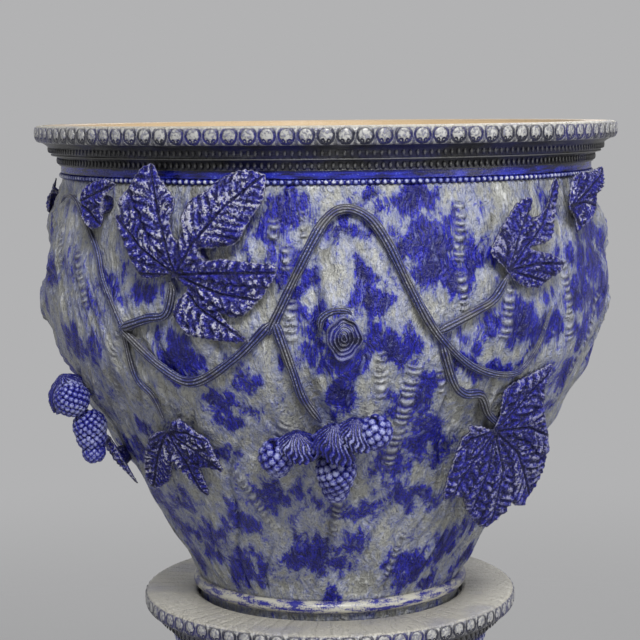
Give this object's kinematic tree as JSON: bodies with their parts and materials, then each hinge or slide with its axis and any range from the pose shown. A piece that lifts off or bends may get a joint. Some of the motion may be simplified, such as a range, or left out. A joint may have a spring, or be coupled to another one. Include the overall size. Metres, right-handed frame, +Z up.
{
  "type": "jardiniere on stand",
  "caption": "Round stoneware plant bowl dressed with applied vines, leaves and berries, standing loose on a matching hollow pedestal.",
  "frame": {"origin": "on the floor at the middle of the stand's foot", "axes": "+Z up through the middle of stand and bowl, -Y towards the viewer of the picture, +X to the viewer's right"},
  "size_m": [0.456, 0.456, 1.03],
  "materials": {
    "bark_glaze": "salt-glazed grey stoneware clouded with cobalt blue, combed like bark",
    "leaf_glaze": "deep cobalt over raised ribs that show pale",
    "vine_glaze": "grey blue, fine strands with dark lines",
    "berry_glaze": "cobalt with pale drupelet tops",
    "bead_glaze": "pale beads on cobalt",
    "egg_band_glaze": "pale shells in dark blue ovals",
    "cornice_glaze": "dark navy with grey reeding",
    "stand_moulding_glaze": "salt-glazed grey stoneware washed with cobalt"
  },
  "bodies": {
    "stand": {"base_bead_ring": "bead_glaze", "base_egg_band": "egg_band_glaze", "base_reeded_cavetto": "cornice_glaze", "cap_bead_ring": "bead_glaze", "cap_egg_band": "egg_band_glaze", "cap_reeded_cavetto": "cornice_glaze", "stand_base": "stand_moulding_glaze", "stand_berries": "berry_glaze", "stand_cap": "stand_moulding_glaze", "stand_knot": "bark_glaze", "stand_leaf_front": "leaf_glaze", "stand_leaf_left": "leaf_glaze", "stand_leaf_right": "leaf_glaze", "stand_trunk": "bark_glaze", "stand_vine": "vine_glaze"},
    "jardiniere": {"bark_knot_back": "bark_glaze", "bark_knot_front": "bark_glaze", "berries_centre_back": "berry_glaze", "berries_centre_front": "berry_glaze", "berries_side_back": "berry_glaze", "berries_side_front": "berry_glaze", "bowl_foot_moulding": "bead_glaze", "bowl_wall": "bark_glaze", "burl_left": "bark_glaze", "burl_right": "bark_glaze", "leaf_big_back": "leaf_glaze", "leaf_big_front": "leaf_glaze", "leaf_curled_left_back": "leaf_glaze", "leaf_curled_left_front": "leaf_glaze", "leaf_high_right_back": "leaf_glaze", "leaf_high_right_front": "leaf_glaze", "leaf_low_left_back": "leaf_glaze", "leaf_low_left_front": "leaf_glaze", "leaf_low_right_back": "leaf_glaze", "leaf_low_right_front": "leaf_glaze", "leaf_rim_left": "leaf_glaze", "leaf_rim_right_back": "leaf_glaze", "leaf_rim_right_front": "leaf_glaze", "leaf_under_fruit_back": "leaf_glaze", "leaf_under_fruit_front": "leaf_glaze", "neck_band": "cornice_glaze", "neck_bead_ring": "bead_glaze", "rim_egg_band": "egg_band_glaze", "rim_reeded_cavettos": "cornice_glaze", "vine_arch_back": "vine_glaze", "vine_arch_front": "vine_glaze", "vine_left_sweep_back": "vine_glaze", "vine_left_sweep_front": "vine_glaze", "vine_root_tendril_back": "vine_glaze", "vine_root_tendril_front": "vine_glaze", "vine_to_berries_back": "vine_glaze", "vine_to_berries_front": "vine_glaze", "vine_to_big_leaf_back": "vine_glaze", "vine_to_big_leaf_front": "vine_glaze", "vine_to_high_right_leaf_back": "vine_glaze", "vine_to_high_right_leaf_front": "vine_glaze", "vine_to_low_left_leaf_back": "vine_glaze", "vine_to_low_left_leaf_front": "vine_glaze", "vine_to_low_right_leaf_back": "vine_glaze", "vine_to_low_right_leaf_front": "vine_glaze"}
  },
  "joints": [
    {"name": "jardiniere_lift", "type": "slide", "parent": "stand", "child": "jardiniere", "axis": [0, 0, 1], "range_m": [0, 0.15]}
  ]
}
